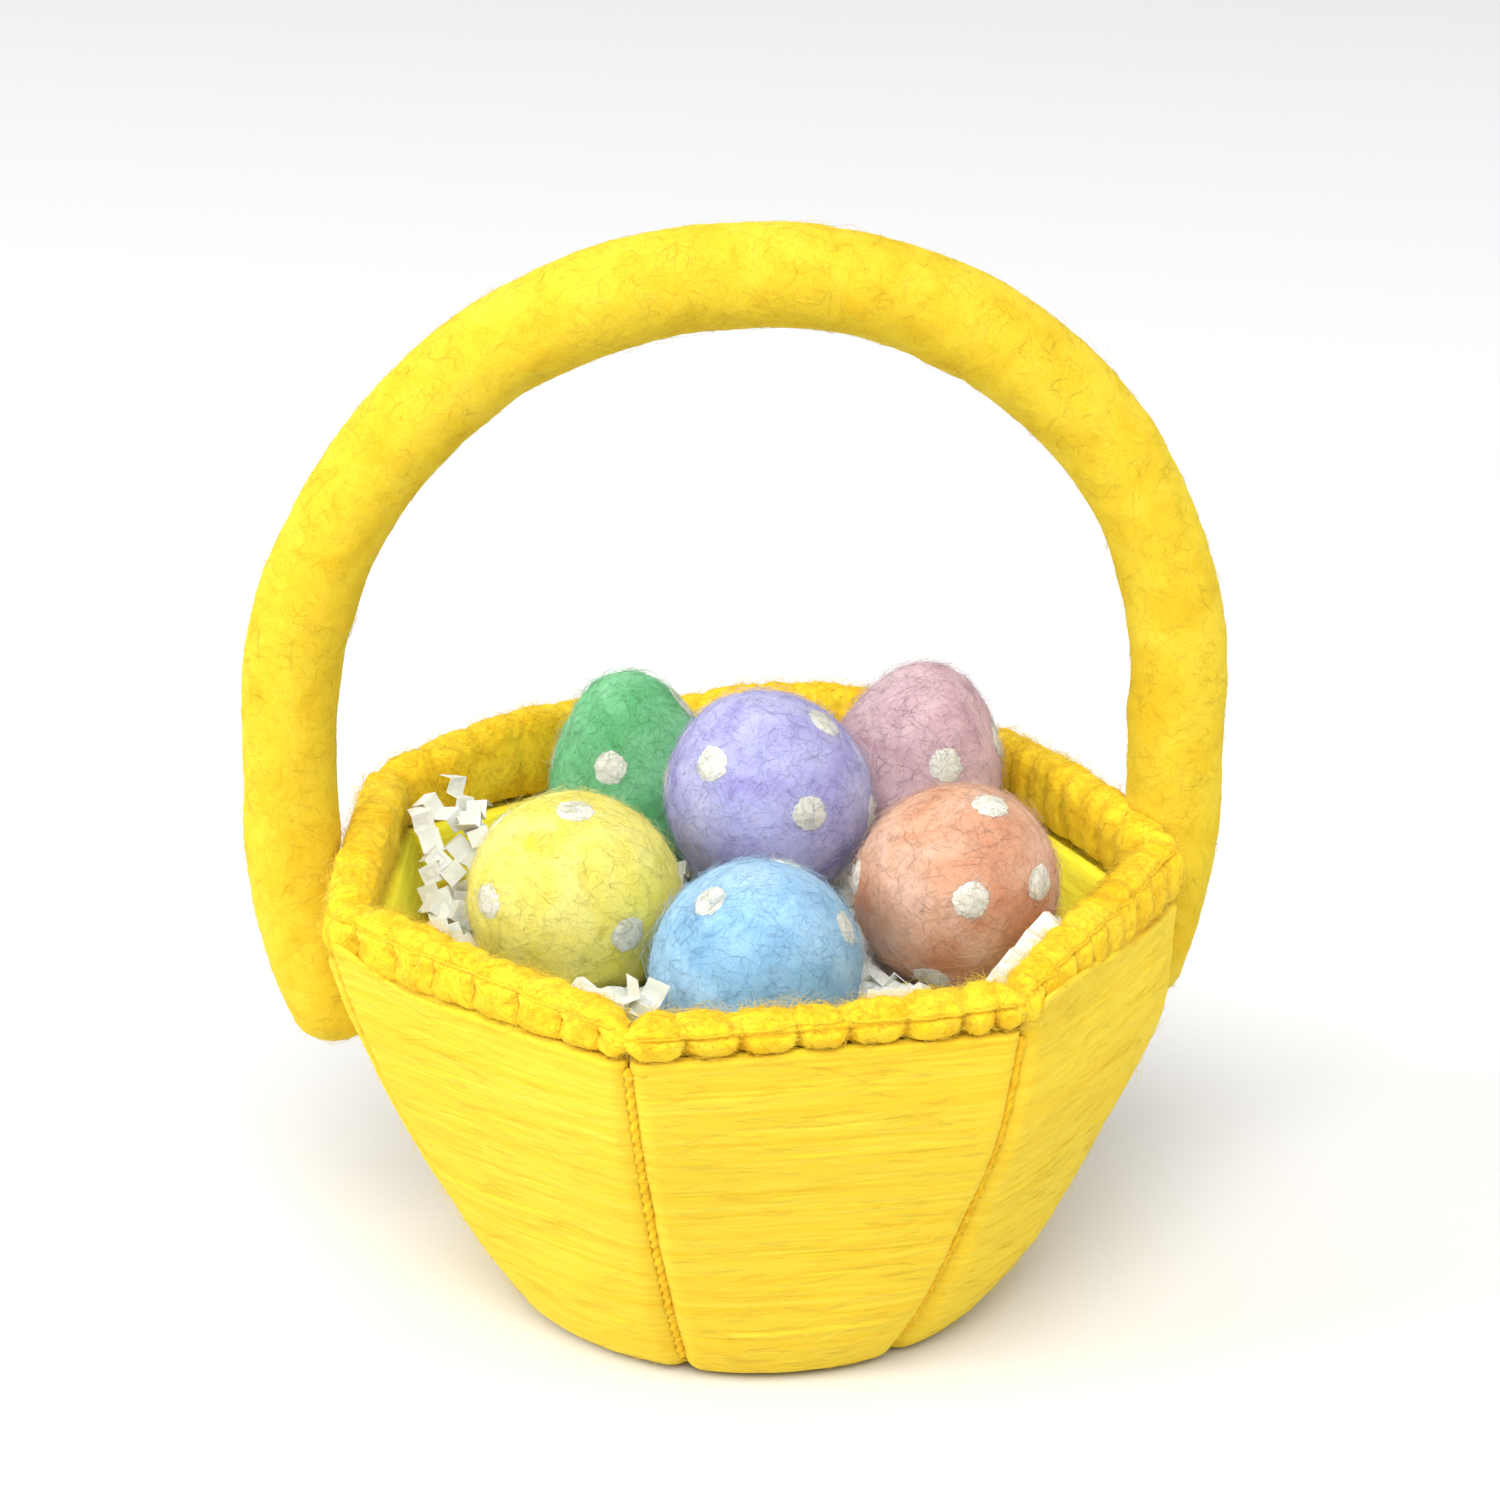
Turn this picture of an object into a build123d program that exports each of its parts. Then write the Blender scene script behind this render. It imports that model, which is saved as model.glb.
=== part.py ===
from build123d import *
import os
from math import asin, atan2, cos, pi, sin, tan

# A small felt easter basket, in millimetres. Seven yarn-wound panels stand round a
# heptagonal base, a blanket-stitched felt roll finishes the top edge, a felted tube
# arches over it as the handle, and six felted eggs lie on a bed of crinkle paper.
# Origin: centre of the underside. +X: the handle's right foot. +Z: up.

# Basket body
SIDES = 7
TOP_CORNER_R = 64.0     # centre to corner, at the top of the winding
BASE_CORNER_R = 34.0    # centre to corner, at the underside
WALL_H = 60.4
WALL_T = 7.1            # measured level
WALL_BULGE = 2.7        # how far the wall bows out from straight
FOOT_FILLET = 4.0
YARN_T = 1.9            # thickness of the winding over the core
SEAM_GAP = 0.15         # half the gap between neighbouring panels
CORE_FOOT = 2.5         # height of the core's lower edge

# Felt roll round the top edge, and its thread
RIM_OUT = 58.0          # centre to the outer face, square to a side
RIM_T = 7.6
RIM_HEIGHTS = [8.8, 5.6, 6.4, 9.4, 9.6, 9.6, 9.6]   # at the far corner of each side in turn
RIM_ROUND = 0.37        # corner radius of the roll's section, as a share of its height
RIM_LIFT = 0.1          # gap between the winding and the roll
THREAD_T = 0.6
THREAD_W = 0.8
STITCH_PITCH = 7.0
STITCHES_PER_SIDE = 7

# Yarn laid in the corner grooves
GROOVE_R = 1.4
GROOVE_DEPTH = 0.3      # how far the groove's centre lies inside the corner
SEAM_YARN_R = 0.9
CORD_TAIL = 4.0         # a groove runs this far past the wall at both ends

# Base: a stiff core between two felts, as (lower face, thickness)
BASE_LAYERS = {
    "base_felt_outer": (0.0, 2.3),
    "base_core": (2.4, 2.2),
    "base_felt_inner": (4.7, 2.3),
}
BASE_SIDE = 23.2        # centre to a side, at the underside
BASE_FLARE = 0.55       # the sides lean out to meet the panels, per unit of height

# Handle
HANDLE_R = 7.2
HANDLE_SPAN = 130.0     # between the legs' centrelines
ARCH_Z = 86.0           # where the legs become the arch
BEND_Z = 72.0           # where the legs start to follow the wall inwards
BEND_R = 75.0
LEFT_FOOT_Z = 42.0
RIGHT_FOOT_Z = 46.0
HANDLE_BACK = 6.5       # how far the apex stands behind the centre
WIRE_R = 1.2
WIRE_CLEAR = 0.2
FOOT_CLEAR = 0.1

# Eggs: centre, direction of the narrow end, thickness, length, and the directions of
# the dots as (azimuth, elevation) from the egg's centre
EGGS = {
    "yellow": ((-23.5, -12.5, 64.5), (-0.35, -0.75, 0.6), 30.4, 33.0,
               [(-85, 72), (-136, 14), (-58, 0), (160, 40), (60, 35), (15, -35), (100, -25)]),
    "blue": ((2.4, -28.5, 60.7), (0.3, -0.6, 0.8), 29.4, 32.0,
             [(-132, 55), (-20, 31), (-80, -9), (140, 20), (55, 60), (60, -10)]),
    "peach": ((30.4, -12.5, 66.3), (0.35, -0.5, 0.8), 28.8, 32.0,
              [(-54, 63), (-83, 16), (-39, 18), (-176, 9), (-108, -40), (100, 50), (60, 0)]),
    "lavender": ((3.7, 7.5, 72.5), (-0.3, -0.4, 0.85), 30.0, 33.0,
                 [(-126, 34), (-22, 57), (-66, 11), (-5, -5), (110, 50), (175, 10), (75, 0)]),
    "green": ((-17.2, 29.5, 64.6), (-0.08, 0.1, 1.0), 25.5, 32.4,
              [(-107, 38), (20, 62), (-30, 15), (165, 25), (75, 20), (120, -30)]),
    "pink": ((25.0, 27.5, 67.9), (0.2, 0.1, 1.0), 26.6, 32.2,
             [(-67, 30), (-140, 10), (0, 30), (90, 45), (140, -15), (40, -30)]),
}
NARROW_TIP = 0.66       # radius of the narrow end over that of the broad end
DOT_R = 2.6
DOT_T = 0.35

# Bed of crinkle paper, as (height, centre to a side), and the strips loose on it
BED_LEVELS = [(7.4, 27.4), (53.0, 47.0), (59.0, 22.0)]
EGG_CLEAR = 0.7
STRIP_W = 3.2
STRIP_T = 0.35
PLEAT = 3.0             # length of one pleat, level
PLEAT_RISE = 1.5
# Each strip: where it starts, its azimuth, its slope and its number of pleats
STRIPS = {
    "left": [((-43.5, 2.0, 56.5), 80, 3, 6), ((-37.0, 2.5, 56.8), 74, 4, 6),
             ((-43.0, 3.0, 61.0), 62, 9, 5), ((-38.0, 18.5, 66.0), -82, 5, 5)],
    "front": [((-17.0, -38.0, 57.0), -8, 2, 2), ((-15.0, -34.0, 60.5), -75, 3, 3)],
    "right": [((33.0, -32.5, 58.5), 50, 33, 3)],
}

HALF_ANGLE = pi / SIDES
TOP_OUT = TOP_CORNER_R * cos(HALF_ANGLE)
BASE_OUT = BASE_CORNER_R * cos(HALF_ANGLE)
RIM_MIDDLE = RIM_OUT - RIM_T / 2
RIM_FOOT = WALL_H + RIM_LIFT
RIM_REACH = RIM_OUT * tan(HALF_ANGLE)   # half a side's length at the roll's outer face
SIDE_NAMES = ["left", "left_front", "front", "right_front", "right_back", "back", "left_back"]
SIDE_ANGLES = {name: pi + 2 * HALF_ANGLE * k for k, name in enumerate(SIDE_NAMES)}
CORNER_ANGLES = [angle + HALF_ANGLE for angle in SIDE_ANGLES.values()]
FAR = 40.0              # further along a side than any corner
HANDLE_TURN = asin(2 * HANDLE_BACK / HANDLE_SPAN)
HANDLE_PLANE = Plane(
    origin=(0, HANDLE_BACK, 0),
    x_dir=(cos(HANDLE_TURN), sin(HANDLE_TURN), 0),
    z_dir=(sin(HANDLE_TURN), -cos(HANDLE_TURN), 0),
)

os.makedirs("parts", exist_ok=True)


def upright_plane(angle, along=0.0):
    """Plane that looks along a side: x runs outwards, y up. along shifts it sideways."""
    sideways = Vector(sin(angle), -cos(angle), 0)
    return Plane(origin=sideways * along, x_dir=(cos(angle), sin(angle), 0), z_dir=sideways)


def mitre(angle, inset):
    """Trim a side to its two corner planes, less an inset at each."""
    for turn in (-1, 1):
        corner = angle + turn * HALF_ANGLE
        inwards = Vector(sin(corner), -cos(corner), 0) * turn
        split(bisect_by=Plane(origin=inwards * inset, z_dir=inwards), keep=Keep.TOP)


def wall_skin(depth):
    """Three points of a skin of the wall, a level distance in from the outside."""
    middle_r = (TOP_OUT + BASE_OUT) / 2 + WALL_BULGE - depth
    return [(BASE_OUT - depth, 0), (middle_r, WALL_H / 2), (TOP_OUT - depth, WALL_H)]


def wall_section(outer, inner):
    """Section of the wall between two skins."""
    with BuildLine() as outline:
        outside = ThreePointArc(*wall_skin(outer))
        inside = ThreePointArc(*wall_skin(inner))
        Line(outside @ 0, inside @ 0)
        Line(outside @ 1, inside @ 1)
    make_face(outline.edges())


def rim_height(number, along):
    """Height of the roll at a place along a side, from the corner before to the one after."""
    before, after = RIM_HEIGHTS[number - 1], RIM_HEIGHTS[number]
    return (before + after) / 2 + (before - after) / 2 * along / RIM_REACH


def rim_section(height, grow=0.0):
    """Section of the felt roll where it has that height, grown on every side."""
    with Locations((RIM_MIDDLE, RIM_FOOT + height / 2)):
        RectangleRounded(RIM_T + 2 * grow, height + 2 * grow, RIM_ROUND * height + grow)


def corner_cord(angle, radius, depth):
    """Round cord up a corner of the body and past both its ends, its centre inside the edge."""
    stretch = 1 / cos(HALF_ANGLE)
    with BuildLine(upright_plane(angle)) as corner_line:
        bow = ThreePointArc(*[(out * stretch - depth, up) for out, up in wall_skin(0)])
        Line(bow @ 0 - (bow % 0) * CORD_TAIL, bow @ 0)
        Line(bow @ 1, bow @ 1 + (bow % 1) * CORD_TAIL)
    route = corner_line.wire()
    with BuildPart() as cord:
        with BuildSketch(Plane(origin=route @ 0, z_dir=route % 0)):
            Circle(radius)
        sweep(path=route)
    return cord.part


def egg_solid(centre, narrow_end, thickness, length, grow=0.0):
    """Egg with a round broad end, long flanks and a tighter round narrow end."""
    upright = Plane(origin=centre, z_dir=narrow_end)
    profile_plane = Plane(origin=centre, x_dir=upright.x_dir, z_dir=upright.x_dir.cross(upright.z_dir))
    broad = thickness / 2 + grow
    tip = thickness / 2 * NARROW_TIP + grow
    tip_centre = length - thickness / 2 + grow - tip
    flank = (broad**2 + tip_centre**2 - tip**2) / (2 * (broad - tip))
    turn = atan2(tip_centre, flank - broad) * 180 / pi
    with BuildPart() as egg:
        with BuildSketch(profile_plane):
            with BuildLine():
                CenterArc((0, 0), broad, -90, 90)
                bow = CenterArc((broad - flank, 0), flank, 0, turn, mode=Mode.PRIVATE)
                Spline(bow @ 0, bow @ 0.5, bow @ 1, tangents=(bow % 0, bow % 1))
                CenterArc((0, tip_centre), tip, turn, 90 - turn)
                Line((0, tip_centre + tip), (0, -broad))
            make_face()
        revolve(axis=Axis(centre, narrow_end))
    return egg.part


def direction(azimuth, elevation):
    return Vector(1, 0, 0).rotate(Axis.Y, -elevation).rotate(Axis.Z, azimuth)


# Panels: a felt core inside a pocket of wound yarn, grooved at the corners
grooves = [corner_cord(angle, GROOVE_R, GROOVE_DEPTH) for angle in CORNER_ANGLES]
for side, angle in SIDE_ANGLES.items():
    with BuildPart() as core:
        with BuildSketch(upright_plane(angle)):
            wall_section(YARN_T, WALL_T - YARN_T)
        extrude(amount=FAR, both=True)
        mitre(angle, SEAM_GAP + YARN_T)
        split(bisect_by=Plane.XY.offset(CORE_FOOT), keep=Keep.TOP)
    core.part.label = f"panel_core_{side}"
    export_step(core.part, f"parts/panel_core_{side}.step")

    with BuildPart() as winding:
        with BuildSketch(upright_plane(angle)) as section:
            wall_section(0, WALL_T)
            fillet(section.vertices().group_by(Axis.Y)[0].sort_by(Axis.X)[-1], FOOT_FILLET)
        extrude(amount=FAR, both=True)
        mitre(angle, SEAM_GAP)
        add(core.part, mode=Mode.SUBTRACT)
        add(grooves, mode=Mode.SUBTRACT)
    winding.part.label = f"panel_winding_{side}"
    export_step(winding.part, f"parts/panel_winding_{side}.step")

# Yarn laid in the corner grooves, one length to a corner
cords = [corner_cord(angle, SEAM_YARN_R, GROOVE_DEPTH) for angle in CORNER_ANGLES]
with BuildPart() as seam_yarn:
    add(cords)
    with Locations((0, 0, CORE_FOOT)):
        Cylinder(2 * TOP_CORNER_R, WALL_H - 2 * CORE_FOOT, mode=Mode.INTERSECT,
                 align=(Align.CENTER, Align.CENTER, Align.MIN))
seam_yarn.part.label = "seam_yarn"
export_step(seam_yarn.part, "parts/seam_yarn.step")

# Felt roll round the top edge, and the blanket-stitch thread over each length of it
stitch_places = [STITCH_PITCH * (k - (STITCHES_PER_SIDE - 1) / 2) for k in range(STITCHES_PER_SIDE)]
for number, (side, angle) in enumerate(SIDE_ANGLES.items()):
    with BuildPart() as roll:
        for end in (-FAR, FAR):
            with BuildSketch(upright_plane(angle, end)):
                rim_section(rim_height(number, end))
        loft(ruled=True)
        mitre(angle, SEAM_GAP)
    roll.part.label = f"rim_roll_{side}"
    export_step(roll.part, f"parts/rim_roll_{side}.step")

    with BuildPart() as thread:
        for place in stitch_places:
            height = rim_height(number, place)
            with BuildSketch(upright_plane(angle, place)):
                rim_section(height, THREAD_T)
                with Locations((RIM_MIDDLE, RIM_FOOT + height / 2)):
                    Rectangle(RIM_T, 2 * height, align=(Align.MAX, Align.CENTER), mode=Mode.SUBTRACT)
                    Rectangle(2 * RIM_T, height, align=(Align.CENTER, Align.MAX), mode=Mode.SUBTRACT)
            extrude(amount=THREAD_W / 2, both=True)
        for place in (stitch_places[0], stitch_places[-1]):
            with BuildSketch(upright_plane(angle, place)):
                with Locations((RIM_MIDDLE, RIM_FOOT + rim_height(number, place))):
                    Rectangle(THREAD_W, THREAD_T, align=(Align.MIN, Align.MIN))
        loft(ruled=True)
        add(roll.part, mode=Mode.SUBTRACT)
    thread.part.label = f"rim_thread_{side}"
    export_step(thread.part, f"parts/rim_thread_{side}.step")

# Base
for name, (height, thickness) in BASE_LAYERS.items():
    with BuildPart() as layer:
        for level in (height, height + thickness):
            with BuildSketch(Plane.XY.offset(level)):
                RegularPolygon(BASE_SIDE + BASE_FLARE * level, SIDES, major_radius=False)
        loft(ruled=True)
    layer.part.label = name
    export_step(layer.part, f"parts/{name}.step")


# Handle: a felted tube on a wire, its feet flattened against the panels they are sewn to
def handle_route(tail):
    """Centreline from the left foot over to the right one, with a straight tail at each end."""
    half = HANDLE_SPAN / 2
    left_bend = asin((BEND_Z - LEFT_FOOT_Z) / BEND_R) * 180 / pi
    right_bend = asin((BEND_Z - RIGHT_FOOT_Z) / BEND_R) * 180 / pi
    with BuildLine(HANDLE_PLANE) as route:
        left = CenterArc((BEND_R - half, BEND_Z), BEND_R, 180 + left_bend, -left_bend)
        Line((-half, BEND_Z), (-half, ARCH_Z))
        CenterArc((0, ARCH_Z), half, 180, -180)
        Line((half, ARCH_Z), (half, BEND_Z))
        right = CenterArc((half - BEND_R, BEND_Z), BEND_R, 0, -right_bend)
        if tail:
            Line(left @ 0 - (left % 0) * tail, left @ 0)
            Line(right @ 1, right @ 1 + (right % 1) * tail)
    return route.wire()


def handle_tube(radius, tail):
    route = handle_route(tail)
    with BuildPart() as tube:
        with BuildSketch(Plane(origin=route @ 0, z_dir=route % 0)):
            Circle(radius)
        sweep(path=route)
    return tube.part


footings = []
for side in ("left", "right_back"):
    with BuildPart() as footing:
        with BuildSketch(upright_plane(SIDE_ANGLES[side])):
            wall_section(-FOOT_CLEAR, WALL_T)
            rim_section(max(RIM_HEIGHTS), THREAD_T + FOOT_CLEAR)
        extrude(amount=FAR, both=True)
    footings.append(footing.part)

wire_bore = handle_tube(WIRE_R + WIRE_CLEAR, 2 * HANDLE_R)
felt_tube = handle_tube(HANDLE_R, 0)
centreline = handle_route(0)
with BuildPart() as handle_felt:
    add(felt_tube)
    with Locations(centreline @ 0, centreline @ 1):
        Sphere(HANDLE_R)
    add(wire_bore, mode=Mode.SUBTRACT)
    add(footings, mode=Mode.SUBTRACT)
handle_felt.part.label = "handle_felt"
export_step(handle_felt.part, "parts/handle_felt.step")

wire_rod = handle_tube(WIRE_R, 0)
with BuildPart() as handle_wire:
    add(wire_rod)
handle_wire.part.label = "handle_wire"
export_step(handle_wire.part, "parts/handle_wire.step")

# Eggs, and the felt dots on each
for name, (centre, narrow_end, thickness, length, dots) in EGGS.items():
    whole_egg = egg_solid(centre, narrow_end, thickness, length)
    dot_skin = egg_solid(centre, narrow_end, thickness, length, DOT_T)
    with BuildPart() as egg:
        add(whole_egg)
    egg.part.label = f"egg_{name}"
    export_step(egg.part, f"parts/egg_{name}.step")

    with BuildPart() as punches:
        for azimuth, elevation in dots:
            with BuildSketch(Plane(origin=centre, z_dir=direction(azimuth, elevation))):
                Circle(DOT_R)
            extrude(amount=length)
    with BuildPart() as egg_dots:
        add(dot_skin)
        add(punches.part, mode=Mode.INTERSECT)
        add(whole_egg, mode=Mode.SUBTRACT)
    egg_dots.part.label = f"egg_{name}_dots"
    export_step(egg_dots.part, f"parts/egg_{name}_dots.step")

# Paper bed: the outer shape of the heap of shred, hollowed where the eggs lie
nests = [egg_solid(*measures[:4], EGG_CLEAR) for measures in EGGS.values()]
with BuildPart() as paper_bed:
    for level, side_out in BED_LEVELS:
        with BuildSketch(Plane.XY.offset(level)):
            RegularPolygon(side_out, SIDES, major_radius=False)
    loft(ruled=True)
    for nest in nests:
        add(nest, mode=Mode.SUBTRACT)
paper_bed.part.label = "paper_bed"
export_step(paper_bed.part, "parts/paper_bed.step")

# Loose pleated strips of the same paper, lying in the gaps between the eggs and the wall
for pile, strips in STRIPS.items():
    with BuildPart() as paper_strips:
        for start, azimuth, slope, pleats in strips:
            along = direction(azimuth, slope)
            across = along.cross(Vector(0, 0, 1)).normalized()
            ridge = [(PLEAT * k, PLEAT_RISE * (k % 2)) for k in range(pleats + 1)]
            underside = [(x, y - STRIP_T) for x, y in reversed(ridge)]
            with BuildSketch(Plane(origin=start, x_dir=along, z_dir=across)):
                with BuildLine():
                    Polyline(*ridge, *underside, close=True)
                make_face()
            extrude(amount=STRIP_W / 2, both=True)
    paper_strips.part.label = f"paper_strips_{pile}"
    export_step(paper_strips.part, f"parts/paper_strips_{pile}.step")
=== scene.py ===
from math import cos, pi, radians, sin, sqrt, tan

import bmesh
import bpy
import numpy as np
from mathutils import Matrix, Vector
from mathutils.bvhtree import BVHTree


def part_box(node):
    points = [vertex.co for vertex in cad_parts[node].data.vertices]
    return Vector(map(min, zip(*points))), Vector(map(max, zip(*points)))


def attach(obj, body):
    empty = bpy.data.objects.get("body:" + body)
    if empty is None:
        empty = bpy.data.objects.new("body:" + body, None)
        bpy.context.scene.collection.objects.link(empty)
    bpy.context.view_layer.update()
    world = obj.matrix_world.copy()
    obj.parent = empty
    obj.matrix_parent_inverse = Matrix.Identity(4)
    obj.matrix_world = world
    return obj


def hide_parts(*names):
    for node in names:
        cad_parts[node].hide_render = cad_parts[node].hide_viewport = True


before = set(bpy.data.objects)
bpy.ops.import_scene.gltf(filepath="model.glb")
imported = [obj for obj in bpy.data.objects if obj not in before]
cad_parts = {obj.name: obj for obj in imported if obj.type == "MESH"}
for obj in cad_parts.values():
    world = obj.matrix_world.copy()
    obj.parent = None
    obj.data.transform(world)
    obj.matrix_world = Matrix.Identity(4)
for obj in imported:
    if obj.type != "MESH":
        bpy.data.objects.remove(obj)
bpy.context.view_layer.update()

# The looks of a small felt easter basket. Lengths here are millimetres in the row frame,
# and MM turns them into Blender's metres when a mesh is made.
MM = 0.001


# ---------------------------------------------------------------- the basket's shape

SIDES = 7
HALF = pi / SIDES
SIDE_NAMES = ["left", "left_front", "front", "right_front", "right_back", "back", "left_back"]
SIDE_ANGLES = {name: pi + 2 * HALF * k for k, name in enumerate(SIDE_NAMES)}


def span(node):
    """Lowest and highest corner of a CAD node, in millimetres."""
    low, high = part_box(node)
    return np.array(low) / MM, np.array(high) / MM


WALL_H = span("panel_winding_front")[1][2]
WALL_T = 7.1
TOP_OUT = 64.0 * cos(HALF)      # centre to the outer face, at the top of the winding
BASE_OUT = 34.0 * cos(HALF)     # and at the underside
WALL_BULGE = 2.7
FOOT_ROUND = 2.6
PANEL_CROWN = 1.1               # how far a panel's middle stands out between its seams
FOOT_CROWN = 2.3                # and how much more it does at its foot
BELLY = 4.6                     # the wound wall swells this far on the right-hand side
BELLY_ANGLE, BELLY_SPREAD = radians(-10), radians(50)
FOOT_SWELL = 1.2                # and this far round the foot of the front
FOOT_ANGLE, FOOT_SPREAD = radians(-76), radians(32)
SEAM_GAP = 0.15

ROLL_OUT = 54.5                 # centre of the felt roll, from the basket's centre
ROLL_W = 7.0
ROLL_LOW, ROLL_TOP = span("rim_roll_back")[0][2], span("rim_roll_back")[1][2]
# Height of the roll at the corner after each side, anticlockwise from above
ROLL_HEIGHTS = [8.8, 5.6, 6.4, 9.4, 9.6, 9.6, 9.6]


def side_axes(side):
    """Unit vectors square to a side, outwards, and along it, anticlockwise from above."""
    angle = SIDE_ANGLES[side]
    return np.array([cos(angle), sin(angle), 0.0]), np.array([-sin(angle), cos(angle), 0.0])


def place(side, out, along, up):
    """Points in the row frame from a side's own measures."""
    outwards, sideways = side_axes(side)
    out, along, up = np.broadcast_arrays(out, along, up)
    points = out[..., None] * outwards + along[..., None] * sideways
    points[..., 2] = up
    return points


def wall_out(up):
    """Distance of the wall's outer face from the centre line at a height, along its bowed arc."""
    rise = (TOP_OUT - BASE_OUT) / WALL_H
    share = up / WALL_H
    return BASE_OUT + rise * up + WALL_BULGE * 4 * share * (1 - share)


def belly(points, up):
    """How far the wound wall swells outwards, most on the right and none at the top."""
    angle = np.arctan2(points[..., 1], points[..., 0])
    from_belly = (angle - BELLY_ANGLE + pi) % (2 * pi) - pi
    from_foot = (angle - FOOT_ANGLE + pi) % (2 * pi) - pi
    tall = (1 - smooth(up, 40, 63)) * (0.62 + 0.38 * smooth(up, 0, 14))
    foot = FOOT_SWELL * (1 - smooth(up, 2, 34)) * bump(from_foot, 0, FOOT_SPREAD)
    return BELLY * tall * bump(from_belly, 0, BELLY_SPREAD) + foot


# ---------------------------------------------------------------- small tools


def smooth(value, low, high):
    """0 below low, 1 above high, and a smooth step between."""
    share = np.clip((value - low) / (high - low), 0, 1)
    return share * share * (3 - 2 * share)


def bump(value, middle, width):
    """1 at the middle, falling off smoothly to both sides."""
    return np.exp(-(((value - middle) / width) ** 2))


NOISE_CELLS = 32


def noise(points, size, seed):
    """Smooth noise from -1 to 1 whose lumps are about size across."""
    table = np.random.default_rng(seed).uniform(-1, 1, (NOISE_CELLS,) * 3)
    scaled = np.asarray(points, float) / size
    cell = np.floor(scaled).astype(int)
    part = scaled - cell
    part = part * part * (3 - 2 * part)
    total = np.zeros(scaled.shape[:-1])
    for corner in np.ndindex(2, 2, 2):
        corner = np.array(corner)
        weight = np.prod(np.where(corner == 1, part, 1 - part), axis=-1)
        index = (cell + corner) % NOISE_CELLS
        total += weight * table[index[..., 0], index[..., 1], index[..., 2]]
    return total


def unit(vectors):
    return vectors / np.maximum(np.linalg.norm(vectors, axis=-1, keepdims=True), 1e-9)


def tube_faces(rows, columns):
    """Quads of a tube of rings, closed round and open at its two ends."""
    row, column = np.meshgrid(np.arange(rows - 1), np.arange(columns), indexing="ij")
    after = (column + 1) % columns
    corners = [row * columns + column, row * columns + after,
               (row + 1) * columns + after, (row + 1) * columns + column]
    return np.stack(corners, -1).reshape(-1, 4)


def tube(rings):
    """Closed mesh from an array of rings (rows, columns, 3), with a flat face at each end."""
    rows, columns = rings.shape[:2]
    faces = tube_faces(rows, columns).tolist()
    faces.append(list(range(columns))[::-1])
    faces.append(list(range((rows - 1) * columns, rows * columns)))
    return rings.reshape(-1, 3), faces


def scatter(points, faces, count, rng):
    """Random points spread evenly by area over a mesh, with the surface's normals there."""
    quads = np.array([face for face in faces if len(face) == 4], int).reshape(-1, 4)
    threes = np.array([face for face in faces if len(face) == 3], int).reshape(-1, 3)
    corners = np.concatenate([quads[:, :3], quads[:, [0, 2, 3]], threes])
    a, b, c = (points[corners[:, k]] for k in range(3))
    normals = np.cross(b - a, c - a)
    areas = np.linalg.norm(normals, axis=1)
    chosen = rng.choice(len(corners), count, p=areas / areas.sum())
    u, v = rng.random(count), rng.random(count)
    over = u + v > 1
    u[over], v[over] = 1 - u[over], 1 - v[over]
    roots = a[chosen] + u[:, None] * (b - a)[chosen] + v[:, None] * (c - a)[chosen]
    return roots, unit(normals[chosen])


HAIR_POINTS = 5
HAIR_SIDES = 3


def thin_tubes(lines, radius):
    """Tapered thin tubes along many lines (count, points, 3), all in one mesh."""
    count, steps = lines.shape[:2]
    along = unit(np.gradient(lines, axis=1))
    helper = unit(np.roll(along, 1, axis=-1) + np.array([0.31, -0.52, 0.17]))
    across = unit(np.cross(along, helper))
    other = np.cross(along, across)
    taper = 1 - 0.65 * np.linspace(0, 1, steps)[None, :] ** 2
    size = np.asarray(radius).reshape(-1, 1) * taper
    turns = np.arange(HAIR_SIDES) * 2 * pi / HAIR_SIDES
    ring = (np.cos(turns)[:, None] * across[:, :, None, :]
            + np.sin(turns)[:, None] * other[:, :, None, :])
    points = lines[:, :, None, :] + size[:, :, None, None] * ring
    each = steps * HAIR_SIDES
    sides = tube_faces(steps, HAIR_SIDES)
    starts = np.arange(count)[:, None, None] * each
    faces = (starts + sides[None]).reshape(-1, 4).tolist()
    ends = np.array([[2, 1, 0], [each - 3, each - 2, each - 1]])
    faces += (starts + ends[None]).reshape(-1, 3).tolist()
    return points.reshape(-1, 3), faces


def hairs(roots, normals, rng, length, radius, rise, curl=0.5, wrap=0.0, run=None):
    """Short curved wool hairs that lie on a surface. length and rise are (least, most);
    wrap is the surface's curvature, and run a direction that they mostly follow."""
    count = len(roots)
    lean = rng.normal(size=(count, 3))
    if run is not None:
        lean = lean * 0.22 + run * rng.choice([-1, 1], count)[:, None]
    along = unit(lean - normals * np.sum(lean * normals, axis=1, keepdims=True))
    across = np.cross(normals, along)
    far = rng.uniform(*length, count)[:, None, None]
    lift = rng.uniform(*rise, count)[:, None, None]
    bend = rng.normal(0, curl, count)[:, None, None]
    second = rng.normal(0, curl * 0.6, count)[:, None, None]
    share = np.linspace(0, 1, HAIR_POINTS)[None, :, None]
    walk = far * share
    lines = (roots[:, None] + walk * along[:, None]
             + far * (bend * share**2 + second * np.sin(share * pi)) * across[:, None]
             + (far * lift * share - wrap * walk**2 / 2) * normals[:, None])
    lines -= 0.03 * normals[:, None]
    return thin_tubes(lines, rng.uniform(0.6, 1.0, count) * radius)


def join(*meshes):
    """One mesh from several (points, faces)."""
    all_points, all_faces, first = [], [], 0
    for points, faces in meshes:
        all_points.append(points)
        all_faces += [[first + k for k in face] for face in faces]
        first += len(points)
    return np.concatenate(all_points), all_faces


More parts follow.
